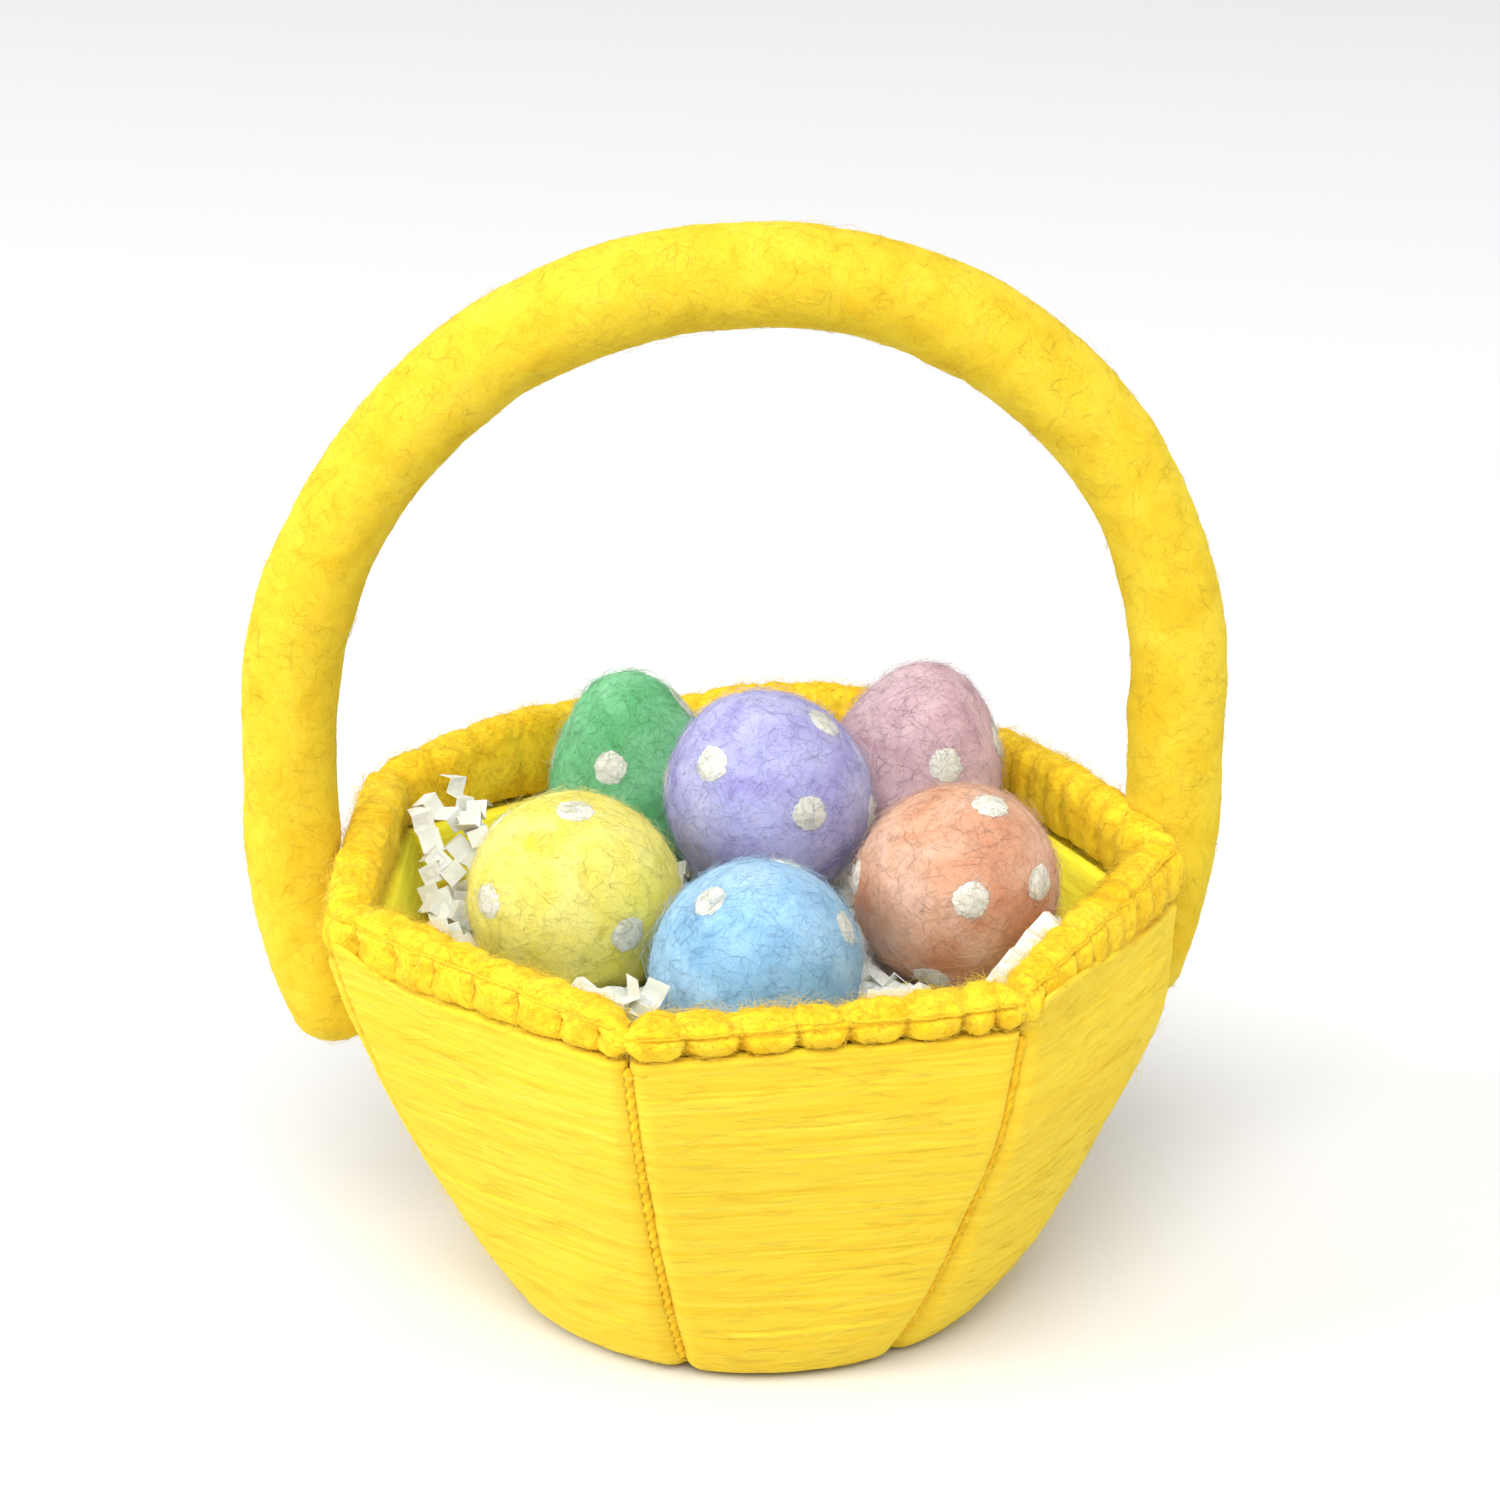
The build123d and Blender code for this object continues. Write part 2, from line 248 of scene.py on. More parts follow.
def piece(name, mesh, material, body, replaced=(), flat=False):
    """Blender object from (points, faces), riding on a body in place of CAD nodes."""
    points, faces = mesh
    data = bpy.data.meshes.new(name)
    data.from_pydata((np.asarray(points) * MM).tolist(), [], faces)
    data.validate()
    if not flat:
        data.shade_smooth()
    data.materials.append(material)
    made = bpy.data.objects.new(name, data)
    bpy.context.scene.collection.objects.link(made)
    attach(made, body)
    if replaced:
        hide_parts(*replaced)
    return made


# ---------------------------------------------------------------- materials


STUDIO = 0.76           # the light on the basket is this much brighter than plain white needs


def linear(red, green, blue):
    """Linear colour from the 0 to 255 values that it shows on a screen in the studio's light."""
    shares = [c / 255 for c in (red, green, blue)]
    return (*[STUDIO * (s / 12.92 if s <= 0.04045 else ((s + 0.055) / 1.055) ** 2.4) for s in shares], 1.0)


class Nodes:
    """A material's node tree, built from the object's own coordinates."""

    def __init__(self, name):
        self.material = bpy.data.materials.new(name)
        self.material.use_nodes = True
        self.tree = self.material.node_tree
        self.shader = self.tree.nodes["Principled BSDF"]
        self.coordinates = self.new("TexCoord").outputs["Object"]

    def new(self, kind):
        return self.tree.nodes.new("ShaderNode" + kind)

    def link(self, source, target):
        self.tree.links.new(source, target)

    def texture(self, scale, detail=3.0, distortion=0.0, stretch=(1, 1, 1), roughness=0.55):
        """Noise with scale lumps to the metre, in stretched coordinates."""
        mapping = self.new("Mapping")
        mapping.inputs["Scale"].default_value = stretch
        self.link(self.coordinates, mapping.inputs["Vector"])
        made = self.new("TexNoise")
        made.inputs["Scale"].default_value = scale
        made.inputs["Detail"].default_value = detail
        made.inputs["Roughness"].default_value = roughness
        made.inputs["Distortion"].default_value = distortion
        self.link(mapping.outputs["Vector"], made.inputs["Vector"])
        return made.outputs["Fac"]

    def ramp(self, source, stops):
        made = self.new("ValToRGB")
        marks = made.color_ramp.elements
        while len(marks) < len(stops):
            marks.new(0.5)
        for mark, (position, colour) in zip(marks, stops):
            mark.position = position
            mark.color = colour
        self.link(source, made.inputs["Fac"])
        return made.outputs["Color"]

    def mix(self, blend, amount, first, second):
        """Mix two colours. amount is a number or a socket."""
        made = self.new("Mix")
        made.data_type = "RGBA"
        made.blend_type = blend
        if isinstance(amount, float):
            made.inputs["Factor"].default_value = amount
        else:
            self.link(amount, made.inputs["Factor"])
        for value, socket in ((first, made.inputs[6]), (second, made.inputs[7])):
            if isinstance(value, tuple):
                socket.default_value = value
            else:
                self.link(value, socket)
        return made.outputs[2]

    def inside(self, edge):
        """1 on the wall's inner face and 0 on its outer one. edge parts the two: a distance from
        the upright axis at the floor, in millimetres, that grows upwards as the wall leans."""
        level = self.new("VectorMath")
        level.operation = "MULTIPLY"
        level.inputs[1].default_value = (1.0, 1.0, 0.0)
        self.link(self.coordinates, level.inputs[0])
        away = self.new("VectorMath")
        away.operation = "LENGTH"
        self.link(level.outputs[0], away.inputs[0])
        parts = self.new("SeparateXYZ")
        self.link(self.coordinates, parts.inputs[0])
        lean = self.new("Math")
        lean.operation = "MULTIPLY_ADD"
        self.link(parts.outputs["Z"], lean.inputs[0])
        lean.inputs[1].default_value = (BASE_OUT - TOP_OUT) / WALL_H
        self.link(away.outputs["Value"], lean.inputs[2])
        step = self.new("MapRange")
        self.link(lean.outputs[0], step.inputs["Value"])
        step.inputs["From Min"].default_value = (edge - 0.6) * MM
        step.inputs["From Max"].default_value = (edge + 0.6) * MM
        step.inputs["To Min"].default_value = 1.0
        step.inputs["To Max"].default_value = 0.0
        return step.outputs["Result"]

    def bump(self, heights, strength):
        """Bump from (height socket, depth in millimetres) pairs, one on another."""
        normal = None
        for height, depth in heights:
            made = self.new("Bump")
            made.inputs["Strength"].default_value = strength
            made.inputs["Distance"].default_value = depth * MM
            self.link(height, made.inputs["Height"])
            if normal is not None:
                self.link(normal, made.inputs["Normal"])
            normal = made.outputs["Normal"]
        self.link(normal, self.shader.inputs["Normal"])

    def finish(self, colour, roughness, sheen=0.0, scatter_mm=0.0, tint=None, specular=0.25):
        inputs = self.shader.inputs
        self.link(colour, inputs["Base Color"])
        inputs["Roughness"].default_value = roughness
        inputs["Specular IOR Level"].default_value = specular
        inputs["Sheen Weight"].default_value = sheen
        inputs["Sheen Roughness"].default_value = 0.45
        if tint:
            inputs["Sheen Tint"].default_value = tint
        if scatter_mm:
            inputs["Subsurface Weight"].default_value = 0.35
            inputs["Subsurface Radius"].default_value = (1.0, 0.7, 0.35)
            inputs["Subsurface Scale"].default_value = scatter_mm * MM
        return self.material


GREY, WHITE = (0.72, 0.70, 0.68, 1), (1.0, 1.0, 1.0, 1)
AMBER = (0.92, 0.74, 0.42, 1)
SAND = (0.86, 0.81, 0.72, 1)


def felt(name, light, middle, dark, shade=GREY, patches=110.0, strands=0.35, sheen=0.3, scatter_mm=1.2):
    """Needle-felted wool: soft patches of tone, wriggling fibres and a dull fuzzy surface."""
    nodes = Nodes(name)
    tone = nodes.texture(patches, detail=4.0, distortion=0.6)
    grain = nodes.texture(800.0, detail=4.0, distortion=2.5)
    fibre = nodes.texture(420.0, detail=3.5, distortion=3.0)
    curls = nodes.texture(640.0, detail=3.0, distortion=4.0, stretch=(1, 1.3, 0.8))
    lines = [(0.38, WHITE), (0.42, shade), (0.46, WHITE), (0.53, WHITE), (0.57, shade), (0.61, WHITE)]
    colour = nodes.ramp(tone, [(0.30, dark), (0.5, middle), (0.72, light)])
    colour = nodes.mix("MULTIPLY", 0.35, colour, nodes.ramp(grain, [(0.34, shade), (0.52, WHITE)]))
    colour = nodes.mix("MULTIPLY", strands, colour, nodes.ramp(fibre, lines))
    colour = nodes.mix("MULTIPLY", strands, colour, nodes.ramp(curls, lines))
    nodes.bump([(grain, 0.10), (curls, 0.05)], 0.6)
    return nodes.finish(colour, 0.92, sheen, scatter_mm, light)


def wound_wool(name, light, middle, dark, painted_inner_light):
    """Soft yarn wound level: fine fibres along the strands, with faint bands from strand to strand. Its inner
    face is painted lighter: painted light that stands in for the light inside the basket.
    """
    nodes = Nodes(name)
    bands = nodes.texture(30.0, detail=5.0, stretch=(1, 1, 26), distortion=0.2)
    fibre = nodes.texture(120.0, detail=5.0, stretch=(1, 1, 34), distortion=0.4, roughness=0.7)
    cloud = nodes.texture(34.0, detail=3.0)
    colour = nodes.ramp(bands, [(0.28, dark), (0.5, middle), (0.75, light)])
    # Painted light: on the wall's inner face the colour is mixed towards a lighter one, which stands in for
    # the light that falls inside the basket
    colour = nodes.mix("MIX", nodes.inside(30.4), colour, nodes.ramp(bands, [(0.32, middle), (0.52, painted_inner_light)]))
    colour = nodes.mix("MULTIPLY", 0.28, colour, nodes.ramp(fibre, [(0.3, AMBER), (0.56, WHITE)]))
    colour = nodes.mix("MULTIPLY", 0.15, colour, nodes.ramp(cloud, [(0.3, AMBER), (0.6, WHITE)]))
    nodes.bump([(fibre, 0.08), (bands, 0.08)], 0.7)
    return nodes.finish(colour, 0.85, 0.4, 1.4, light)


def mottled(name, scale, dark, light, depth, roughness, detail=4.0, distortion=0.0, strength=0.5,
            scatter_mm=0.0, metal=0.0):
    """A plain surface with fine marks: paper, card or drawn wire."""
    nodes = Nodes(name)
    marks = nodes.texture(scale, detail, distortion)
    colour = nodes.ramp(marks, [(0.3, linear(*dark)), (0.7, linear(*light))])
    nodes.bump([(marks, depth)], strength)
    nodes.shader.inputs["Metallic"].default_value = metal
    return nodes.finish(colour, roughness, scatter_mm=scatter_mm)


YELLOW_FELT = felt("yellow_felt", (0.88, 0.665, 0.036, 1), (0.86, 0.61, 0.022, 1), (0.83, 0.51, 0.010, 1),
                   AMBER, 150.0, scatter_mm=2.4)
HANDLE_FELT = felt("handle_felt", linear(247, 222, 66), linear(241, 212, 50), linear(233, 198, 36),
                   AMBER, 130.0, scatter_mm=1.8)
# Painted light: the lighter colour of the walls' inner face, which stands in for the light inside the basket
INNER_PAINTED_LIGHT = (0.95, 0.86, 0.045, 1)
WOUND_YARN = wound_wool("wound_yarn", linear(255, 229, 76), linear(253, 219, 56), linear(250, 207, 42),
                        INNER_PAINTED_LIGHT)
# The sewing yarn's deeper orange is partly the thread's own tone and partly painted shade of the grooves and
# dimples that it lies in. Its last colour is painted light for the inner face, as with the wound yarn.
SEWING_YARN = wound_wool("sewing_yarn", linear(255, 216, 50), linear(253, 204, 36), linear(246, 186, 24),
                         linear(253, 210, 42))
PAPER = mottled("shredded_paper", 500.0, (238, 240, 226), (252, 252, 246), 0.02, 0.7,
                detail=3.0, scatter_mm=0.5)
BASE_CARD = mottled("base_card", 900.0, (150, 128, 98), (196, 176, 144), 0.05, 0.9,
                    distortion=1.5, strength=0.6)
ARMATURE = mottled("armature_wire", 400.0, (120, 122, 124), (176, 178, 180), 0.02, 0.42, metal=1.0)
WHITE_WOOL = felt("white_wool", linear(250, 250, 240), linear(240, 240, 228), linear(230, 230, 216),
                  SAND, 300.0, 0.15)
# Light, middle and dark tone of each egg
WOOL_TONES = {
    "yellow": ((255, 250, 156), (252, 243, 124), (240, 226, 78)),
    "blue": ((184, 222, 252), (166, 212, 248), (142, 194, 234)),
    "peach": ((242, 202, 180), (232, 180, 150), (218, 148, 110)),
    "lavender": ((212, 210, 250), (194, 195, 244), (168, 163, 228)),
    "green": ((148, 220, 170), (124, 206, 148), (90, 180, 114)),
    "pink": ((236, 208, 214), (224, 190, 200), (208, 168, 182)),
}
WOOLS = {name: felt(f"{name}_wool", *[linear(*tone) for tone in tones], SAND, strands=0.4)
         for name, tones in WOOL_TONES.items()}

kept_nodes = {"base_card": (["base_core"], BASE_CARD),
              "armature_wire": (["handle_wire"], ARMATURE),
              "yellow_felt": (["base_felt_outer", "base_felt_inner"]
                              + [f"panel_core_{side}" for side in SIDE_NAMES], YELLOW_FELT)}
for names, material in kept_nodes.values():
    for node in names:
        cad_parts[node].data.materials.clear()
        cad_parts[node].data.materials.append(material)


# ---------------------------------------------------------------- yarn-wound panels

PANEL_ROWS = 330
FACE_COLUMNS = 66
OUTER_R, INNER_R = 1.8, 1.2         # how the winding turns round a panel's edges
LIP_R = 0.9
STRAND = 0.95                       # mean width of a strand of the winding
# Where a panel's winding runs up over the felt roll: (end, height, reach along the side)
LIPS = {"right_front": (-1, 4.6, 46.0), "left_front": (-1, 4.4, 16.0)}
PANEL_STRAYS = 900
# A strand that lies proud of the rest: (height, from, to, how far)
PROUD = {"front": [(10.2, -12.0, 15.0, 0.42), (43.5, -6.0, 22.0, 0.16)],
         "right_front": [(31.0, -20.0, -2.0, 0.35), (22.0, -6.0, 12.0, 0.25)],
         "left_front": [(27.0, -18.0, 8.0, 0.3), (38.0, -20.0, -4.0, 0.2)]}


def rounded_section(out, thickness):
    """Outline of a panel's level section as (across, outwards) for every row, anticlockwise
    from above, with the share of the way across and whether it is on the outer face."""
    slope = tan(HALF)
    trim = SEAM_GAP / cos(HALF)
    inner = out - thickness
    wide, narrow = out * slope - trim, inner * slope - trim
    lengths = OUTER_R / tan((pi / 2 - HALF) / 2), INNER_R / tan((pi / 2 + HALF) / 2)
    outer_centre = wide - lengths[0]
    inner_centre = narrow - lengths[1]
    across, outwards, facing = [], [], []

    def add(x, y, face):
        across.append(x)
        outwards.append(y)
        facing.append(np.broadcast_to(float(face), np.shape(x)))

    for share in np.linspace(-1, 1, FACE_COLUMNS):
        add(outer_centre * share, out, 1)
    for turn in np.linspace(0, 1, 8)[1:]:
        angle = pi / 2 - turn * (pi / 2 + HALF)
        add(outer_centre + OUTER_R * cos(angle), out - OUTER_R + OUTER_R * sin(angle), 1 - turn)
    for turn in np.linspace(0, 1, 6):
        angle = -HALF - turn * (pi / 2 - HALF)
        add(inner_centre + INNER_R * cos(angle), inner + INNER_R + INNER_R * sin(angle), 0)
    for share in np.linspace(1, -1, 26)[1:-1]:
        add(inner_centre * share, inner, 0)
    for turn in np.linspace(1, 0, 6):
        angle = -HALF - turn * (pi / 2 - HALF)
        add(-inner_centre - INNER_R * cos(angle), inner + INNER_R + INNER_R * sin(angle), 0)
    for turn in np.linspace(1, 0, 8)[:-1]:
        angle = pi / 2 - turn * (pi / 2 + HALF)
        add(-outer_centre - OUTER_R * cos(angle), out - OUTER_R + OUTER_R * sin(angle), 1 - turn)
    return np.stack(across, 1), np.stack(outwards, 1), np.stack(facing, 1)


def strand_relief(across, up, seed, proud):
    """Height of the wound strands over the panel's smooth face."""
    rng = np.random.default_rng(seed)
    relief = np.zeros_like(across)
    level = rng.uniform(0.2, 0.8)
    while level < WALL_H + 6:
        knots = rng.normal(0, 1, 7)
        wander = np.interp(across, np.linspace(-34, 34, 7), knots) * 0.28
        depths = np.clip(rng.normal(0.0, 0.9, 9), 0, 2.2)
        depth = 0.035 + 0.085 * np.interp(across, np.linspace(-34, 34, 9), depths)
        if rng.random() < 0.16:
            start, far = rng.uniform(-24, 12), rng.uniform(8, 26)
            gap = smooth(across, start, start + 3) * (1 - smooth(across, start + far - 4, start + far))
            depth = depth + 0.20 * gap
        relief -= depth * bump(up, level + wander, 0.21)
        level += rng.uniform(0.62, 1.35) * STRAND
    for height, start, end, rise in proud:
        here = smooth(across, start, start + 3) * (1 - smooth(across, end - 3, end))
        sag = 0.3 * np.sin(across / 7)
        relief += rise * here * bump(up, height + sag, 0.55)
        relief -= 0.55 * rise * here * bump(up, height + sag + 0.95, 0.28)
    return relief


def wound_panel(side, seed):
    """Rings of one wound panel, foot to top: crowned, swollen, and grooved between its strands."""
    up = WALL_H * np.linspace(0, 1, PANEL_ROWS)
    foot = FOOT_ROUND - np.sqrt(np.maximum(FOOT_ROUND**2 - np.maximum(FOOT_ROUND - up, 0) ** 2, 0))
    top = LIP_R - np.sqrt(np.maximum(LIP_R**2 - np.maximum(up - WALL_H + LIP_R, 0) ** 2, 0))
    out = wall_out(up) - foot - 0.6 * top
    across, outwards, facing = rounded_section(out, WALL_T - foot - top)
    up = np.broadcast_to(up[:, None], across.shape).copy()
    half_width = np.max(across, axis=1, keepdims=True)
    share = across / half_width
    lip = 0.0
    if side in LIPS:
        end, height, reach = LIPS[side]
        from_end = (1 - end * share) * half_width
        lip = height * (1 - smooth(from_end, 0, reach)) * smooth(up, 34, WALL_H) * facing
        up = up + lip
        outwards = outwards + (wall_out(up) - wall_out(up - lip))
    points = place(side, outwards, across, up)
    depth = np.clip((outwards - (out - WALL_T + foot + top)[:, None]) / (WALL_T - foot - top)[:, None], 0, 1)
    radial = unit(points * np.array([1.0, 1.0, 0.0]))
    points = points + (belly(points, up) * depth)[..., None] * radial
    swell = PANEL_CROWN * (1 - share**4) * facing * (0.4 + 0.6 * smooth(up, 0, 8))
    swell = swell + FOOT_CROWN * (1 - share**2) * (1 - smooth(up, 0, 34)) * facing
    swell = swell * (1 - 0.6 * smooth(up, WALL_H - 9, WALL_H))
    lumps = 0.16 * noise(points, 9.0, seed) + 0.07 * noise(points, 3.2, seed + 1)
    strands = strand_relief(across, up, seed + 2, PROUD.get(side, []))
    strands = strands * (0.55 + 0.2 * facing) * smooth(up, 0.4, 2.5)
    grain = 0.045 * noise(points * np.array([0.25, 0.25, 1.0]), 0.55, seed + 3)
    normals = place(side, np.gradient(across, axis=1), -np.gradient(outwards, axis=1), 0 * across)
    normals = unit(normals)
    return points + (swell + lumps + strands + grain)[..., None] * normals


for k, side in enumerate(SIDE_NAMES):
    rings = wound_panel(side, 100 + 10 * k)
    mesh = tube(rings)
    rng = np.random.default_rng(500 + k)
    roots, normals = scatter(*mesh, PANEL_STRAYS, rng)
    sideways = side_axes(side)[1]
    broad = (np.abs(normals @ sideways) < 0.6) & (roots[:, 2] > 1.5)
    stray = hairs(roots[broad], normals[broad], rng, (2.5, 9.0), 0.045, (0.0, 0.05), 0.06, 0.0, sideways)
    panel = piece(f"yarn_panel_{side}", join(mesh, stray), WOUND_YARN, "basket",
                  [f"panel_winding_{side}"])


# ---------------------------------------------------------------- felt roll and its stitches

ROLL_STEP = 0.26
ROLL_AROUND = 84
ROLL_SQUARENESS = 0.8
THREAD_R = 0.24
ROLL_HAIRS = 3000
ROLL_HALF = (ROLL_OUT + ROLL_W / 2) * tan(HALF)
# Each side of the roll: where the stitches are from its first corner; the height of the
# running thread, as a share of the roll's; how deep the stitches pull it in all the way
# down, dent it at one height, and rib its inner face; how high its top arches; and how
# loose the wool above the running thread is
ROLL_LOOKS = ["line", "pull", "dent", "rib", "arch", "loose"]
ROLLS = {
    "left": ([7.5, 15.0, 23.0, 31.5, 39.0, 47.5], [0.78, 0.4, 1.0, 0.3, 0.5, 0.7]),
    "left_front": ([6.0, 13.5, 21.0, 28.5, 36.5, 44.0, 50.5], [0.84, 0.35, 1.25, 0.3, 0.4, 0.6]),
    "front": ([8.8, 16.2, 23.9, 30.8, 38.6, 46.4, 50.9], [0.66, 1.0, 0.0, 0.2, -1.2, 0.8]),
    "right_front": ([5.5, 10.5, 16.0, 21.0, 26.5, 32.0, 37.5, 43.5, 49.5], [0.86, 0.7, 0.3, 0.3, 0.4, 0.5]),
    "right_back": ([5.0, 10.5, 16.0, 21.5, 27.0, 32.5, 38.0, 43.5, 49.5], [0.78, 0.7, 0.4, 0.75, 1.6, 0.3]),
    "back": ([8.0, 16.5, 25.0, 33.5, 41.0, 48.5], [0.74, 0.8, 0.6, 0.3, 4.6, 0.4]),
    "left_back": ([7.0, 14.5, 22.5, 31.0, 39.5, 47.0], [0.76, 0.8, 0.6, 0.2, 3.8, 0.4]),
}


def between(along, places):
    """0 at each of the places and 1 half way between two of them."""
    edges = np.concatenate([[-ROLL_HALF - 1.0], places, [ROLL_HALF + 1.0]])
    index = np.clip(np.searchsorted(edges, along) - 1, 0, len(edges) - 2)
    share = (along - edges[index]) / (edges[index + 1] - edges[index])
    return np.sqrt(np.clip(4 * share * (1 - share), 0, 1))


def roll_height(side, along):
    """Height of the roll at a place along a side."""
    number = SIDE_NAMES.index(side)
    before, after = ROLL_HEIGHTS[number - 1], ROLL_HEIGHTS[number]
    return (before + after) / 2 + (after - before) / 2 * along / ROLL_HALF


def felt_roll(side, stitches, seed):
    """Rings of one side of the felt roll, drawn in by its stitches into two rows of beads."""
    look = dict(zip(ROLL_LOOKS, ROLLS[side][1]))
    rng = np.random.default_rng(seed)
    steps = int(2 * ROLL_HALF / ROLL_STEP)
    turns = np.linspace(2 * pi, 0, ROLL_AROUND, endpoint=False)
    tau, theta = np.meshgrid(np.linspace(-1, 1, steps), turns, indexing="ij")
    cosine, sine = np.cos(theta), np.sin(theta)
    out = ROLL_W / 2 * np.sign(cosine) * np.abs(cosine) ** ROLL_SQUARENESS
    along = tau * ((ROLL_OUT + out) * tan(HALF) - SEAM_GAP / cos(HALF))
    height = roll_height(side, along)
    up = height / 2 * (1 + np.sign(sine) * np.abs(sine) ** ROLL_SQUARENESS)
    line = height * look["line"]
    outer = smooth(cosine, -0.1, 0.55)
    inner = smooth(-cosine, 0.1, 0.7)
    above = smooth(up - line, -0.3, 0.5)
    puff_places = np.sort(stitches + rng.uniform(-1.6, 1.6, len(stitches)))
    bead, puff = between(along, stitches), between(along, puff_places)
    valley = sum(0.55 * bump(along, stitch, 1.3) + 0.45 * bump(along, stitch, 0.5) for stitch in stitches)
    hole = sum(bump(along, stitch, 0.6) * bump(up, height * 0.26, 0.7) for stitch in stitches)
    dent = sum(bump(along, stitch, 1.7) * bump(up, height * 0.50, 1.6) for stitch in stitches)
    swell = 0.7 * look["pull"] * (bead - 0.6) * outer * (1 - above)
    swell = swell + look["loose"] * 0.9 * (puff - 0.45) * above * smooth(sine, -0.1, 0.6)
    swell = swell - look["pull"] * valley * outer * (1 - 0.6 * above)
    swell = swell - look["dent"] * dent * outer - 0.7 * look["pull"] * hole * outer
    swell = swell - 0.55 * bump(up, line, 0.5) * outer * (0.5 + 0.5 * bead)
    swell = swell - look["rib"] * sum(bump(along, stitch, 1.1) for stitch in stitches) * inner
    points = place(side, ROLL_OUT + out, along, ROLL_LOW + up)
    swell = swell + 0.30 * noise(points, 4.2, seed) + 0.16 * noise(points, 1.7, seed + 1)
    swell = swell + (0.22 * look["loose"] * above + 0.05) * noise(points, 0.9, seed + 2)
    end = smooth(np.abs(tau) * ROLL_HALF, ROLL_HALF - 3.0, ROLL_HALF)
    swell = swell - 1.3 * end**2
    out = out + swell * cosine
    up = up + swell * sine
    lift = look["arch"] * (1 - tau**2) * smooth(up, 0, height)
    bow = 0.5 * (1 - tau**2)
    return place(side, ROLL_OUT + out + bow, along, ROLL_LOW + np.maximum(up + lift, 0.05))


def laid_on(tree, side, along, up, clear):
    """Points on a felt roll's outer face, seen from outside, standing clear of it."""
    outwards = Vector(side_axes(side)[0])
    found = []
    for a, z in zip(along, up):
        start = Vector(place(side, 80.0, a, z))
        hit, _, _, _ = tree.ray_cast(start, -outwards)
        if hit is not None:
            found.append(np.array(hit + outwards * clear))
    return np.array(found)


def yarn(line, radius, twist_mm=2.6):
    """Two-ply yarn along a line of points: a closed tube whose section turns as it goes."""
    steps = len(line)
    along = unit(np.gradient(line, axis=0))
    across = unit(np.cross(along, np.array([0.12, 0.23, 0.97])))
    other = np.cross(along, across)
    walked = np.concatenate([[0], np.cumsum(np.linalg.norm(np.diff(line, axis=0), axis=1))])
    turns = np.linspace(0, 2 * pi, 10, endpoint=False)[None, :]
    phase = 2 * pi * walked[:, None] / twist_mm
    size = radius * (1 + 0.28 * np.cos(2 * (turns - phase)))
    fade = np.minimum(1, 0.35 + 3 * np.minimum(np.arange(steps), np.arange(steps)[::-1])[:, None] / 6)
    size = size * fade
    rings = (line[:, None] + (size * np.cos(turns))[..., None] * across[:, None]
             + (size * np.sin(turns))[..., None] * other[:, None])
    return tube(rings)


for k, side in enumerate(SIDE_NAMES):
    stitches = np.array(ROLLS[side][0]) - ROLL_HALF
    mesh = tube(felt_roll(side, stitches, 700 + 10 * k))
    rng = np.random.default_rng(900 + k)
    roots, normals = scatter(*mesh, ROLL_HAIRS, rng)
    fuzz = hairs(roots, normals, rng, (1.0, 3.4), 0.038, (0.0, 0.35), 0.6, 0.08)
    roll = piece(f"felt_rim_{side}", join(mesh, fuzz), YELLOW_FELT, "basket",
                 [f"rim_roll_{side}"])

    tree = BVHTree.FromPolygons(mesh[0].tolist(), mesh[1])
    run = np.arange(-ROLL_HALF + 2.0, ROLL_HALF - 2.0, 0.4)
    share = ROLLS[side][1][0]
    level = ROLL_LOW + roll_height(side, run) * share + 0.25 * np.sin(run / 5 + k)
    threads = [yarn(laid_on(tree, side, run, level, 0.10), THREAD_R)]
    for stitch in stitches:
        height = roll_height(side, stitch)
        drop = ROLL_LOW + height * np.linspace(share + 0.03, 0.26, 16)
        slant = stitch + np.linspace(0.0, rng.uniform(-0.5, 0.5), 16)
        threads.append(yarn(laid_on(tree, side, slant, drop, 0.06), THREAD_R * 0.85))
    piece(f"rim_stitches_{side}", join(*threads), SEWING_YARN, "basket",
          [f"rim_thread_{side}"])


# ---------------------------------------------------------------- yarn down the corner seams

SEAM_DEPTH = 1.75
SEAM_R = 0.62
seam_cords = []
for k in range(SIDES):
    angle = pi + HALF + 2 * HALF * k
    heights = np.linspace(3.0, WALL_H - 1.0, 130)
    out = wall_out(heights) / cos(HALF) - SEAM_DEPTH / cos(HALF)
    out = out + 0.12 * np.sin(heights * 1.3 + k)
    out = out + belly(np.array([cos(angle), sin(angle), 0.0]), heights) * (1 - SEAM_DEPTH / WALL_T)
    line = np.stack([out * cos(angle), out * sin(angle), heights], 1)
    seam_cords.append(yarn(line, SEAM_R, 4.0))
piece("seam_cords", join(*seam_cords), SEWING_YARN, "basket", ["seam_yarn"])


# ---------------------------------------------------------------- handle

HANDLE_R = 7.0
HANDLE_HALF = 65.0
ARCH_Z, BEND_Z, BEND_R = 86.0, 72.0, 75.0
FOOT_Z = {"left": 43.6, "right": 46.0}
HANDLE_BACK = 6.5
HANDLE_TURN = np.arcsin(HANDLE_BACK / HANDLE_HALF)
HANDLE_X = np.array([cos(HANDLE_TURN), sin(HANDLE_TURN), 0.0])
HANDLE_N = np.array([sin(HANDLE_TURN), -cos(HANDLE_TURN), 0.0])
HANDLE_STEP = 0.75
HANDLE_COLUMNS = 84
HANDLE_HAIRS = 4500
CAP_LENGTH = 0.9                # of a round end, as a share of the handle's radius
FEET_BELOW = 82.0               # below this height the handle is pressed against the wall
LEFT_SHIFT, RIGHT_SHIFT = -0.8, -1.6    # the legs stand a little to the left of the circle
TOP_SHIFT = 1.0                         # and its top a little to the right
SHOULDER = 0.2                  # the left shoulder stands out a little from the circle


